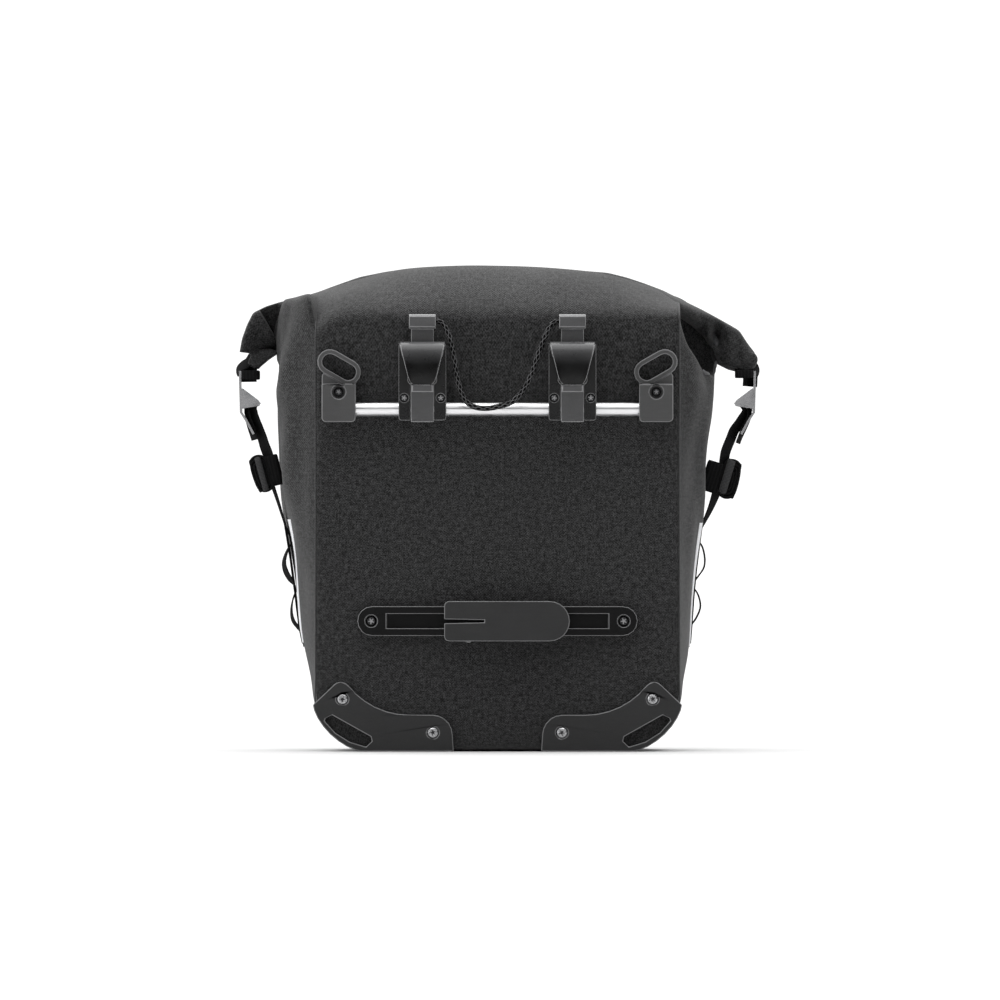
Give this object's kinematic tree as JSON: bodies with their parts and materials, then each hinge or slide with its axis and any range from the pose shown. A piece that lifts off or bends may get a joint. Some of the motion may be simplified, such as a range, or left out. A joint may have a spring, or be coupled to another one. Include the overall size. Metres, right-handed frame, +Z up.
{
  "type": "bicycle pannier bag",
  "caption": "Roll-top bicycle pannier: tapered fabric bag with latching rack hooks on a carrier rail, a lower swivel arm on a track, corner protectors and side compression straps.",
  "frame": {"origin": "middle of the bag's footprint, on the ground under its base", "axes": "+X across the bag, along the carrier rail; +Y from the bicycle side to the outer side; +Z up"},
  "size_m": [0.4496, 0.2155, 0.4205],
  "materials": {
    "fabric": "matt charcoal coated weave",
    "webbing": "black ribbed webbing",
    "elastic": "grey-black knitted elastic",
    "cord": "black braided cord",
    "reflective": "silver reflective strip",
    "black_plastic": "satin black moulding",
    "grey_plastic": "satin dark grey moulding",
    "aluminium": "drawn bright tube",
    "bright_steel": "bright plated steel",
    "black_steel": "black oxide"
  },
  "bodies": {
    "bag": {"back_board": "black_plastic", "bag_body": "fabric", "corner_protector_left": "black_plastic", "corner_protector_right": "black_plastic", "daisy_chain_left": "webbing", "daisy_chain_right": "webbing", "end_cap_left": "black_plastic", "end_cap_right": "black_plastic", "end_cap_screw_left": "black_steel", "end_cap_screw_right": "black_steel", "hook_base_left": "black_plastic", "hook_base_right": "black_plastic", "hook_clamp_left": "black_plastic", "hook_clamp_right": "black_plastic", "hook_screw_inner_left": "black_steel", "hook_screw_inner_right": "black_steel", "hook_screw_outer_left": "black_steel", "hook_screw_outer_right": "black_steel", "lower_track": "black_plastic", "protector_screw_lower_left": "bright_steel", "protector_screw_lower_right": "bright_steel", "protector_screw_upper_left": "bright_steel", "protector_screw_upper_right": "bright_steel", "rail_tube": "aluminium", "reflective_stripe_left": "reflective", "reflective_stripe_right": "reflective", "track_screw_left": "bright_steel", "track_screw_right": "bright_steel"},
    "roll_top": {"roll_closure": "fabric", "roll_tab_left": "webbing", "roll_tab_right": "webbing"},
    "strap_left": {"side_strap_left": "webbing", "strap_tail_left": "webbing", "tail_keeper_left": "elastic", "buckle_left": "bright_steel"},
    "strap_right": {"side_strap_right": "webbing", "strap_tail_right": "webbing", "tail_keeper_right": "elastic", "buckle_right": "bright_steel"},
    "latch_left": {"latch_left": "grey_plastic", "pull_cord": "cord"},
    "latch_right": {"latch_right": "grey_plastic"},
    "carriage": {"lower_carriage": "black_plastic"},
    "lower_arm": {"lower_arm": "black_plastic"}
  },
  "joints": [
    {"name": "roll_top_lift", "type": "hinge", "parent": "bag", "child": "roll_top", "pos_m": [0, -0.064, 0.378], "axis": [1, 0, 0], "range_deg": [0, 55]},
    {"name": "strap_left_swing", "type": "hinge", "parent": "bag", "child": "strap_left", "pos_m": [-0.1784, 0.028, 0.1785], "axis": [0, -1, 0], "range_deg": [0, 110]},
    {"name": "strap_right_swing", "type": "hinge", "parent": "bag", "child": "strap_right", "pos_m": [0.1784, 0.028, 0.1785], "axis": [0, 1, 0], "range_deg": [0, 110]},
    {"name": "latch_left_slide", "type": "slide", "parent": "bag", "child": "latch_left", "axis": [0, 0, 1], "range_m": [0, 0.012], "stiffness_N_per_m": 400, "springref_m": -0.005},
    {"name": "latch_right_slide", "type": "slide", "parent": "bag", "child": "latch_right", "axis": [0, 0, 1], "range_m": [0, 0.012], "stiffness_N_per_m": 400, "springref_m": -0.005},
    {"name": "lower_hook_slide", "type": "slide", "parent": "bag", "child": "carriage", "axis": [1, 0, 0], "range_m": [-0.12, 0.034]},
    {"name": "lower_arm_turn", "type": "hinge", "parent": "carriage", "child": "lower_arm", "pos_m": [0.045, -0.0723, 0.1123], "axis": [0, 1, 0], "range_deg": [-90, 90]}
  ],
  "couplings": [
    {"joint": "strap_left_swing", "follows": "roll_top_lift", "ratio": 2},
    {"joint": "strap_right_swing", "follows": "roll_top_lift", "ratio": 2},
    {"joint": "latch_right_slide", "follows": "latch_left_slide", "ratio": 1}
  ]
}
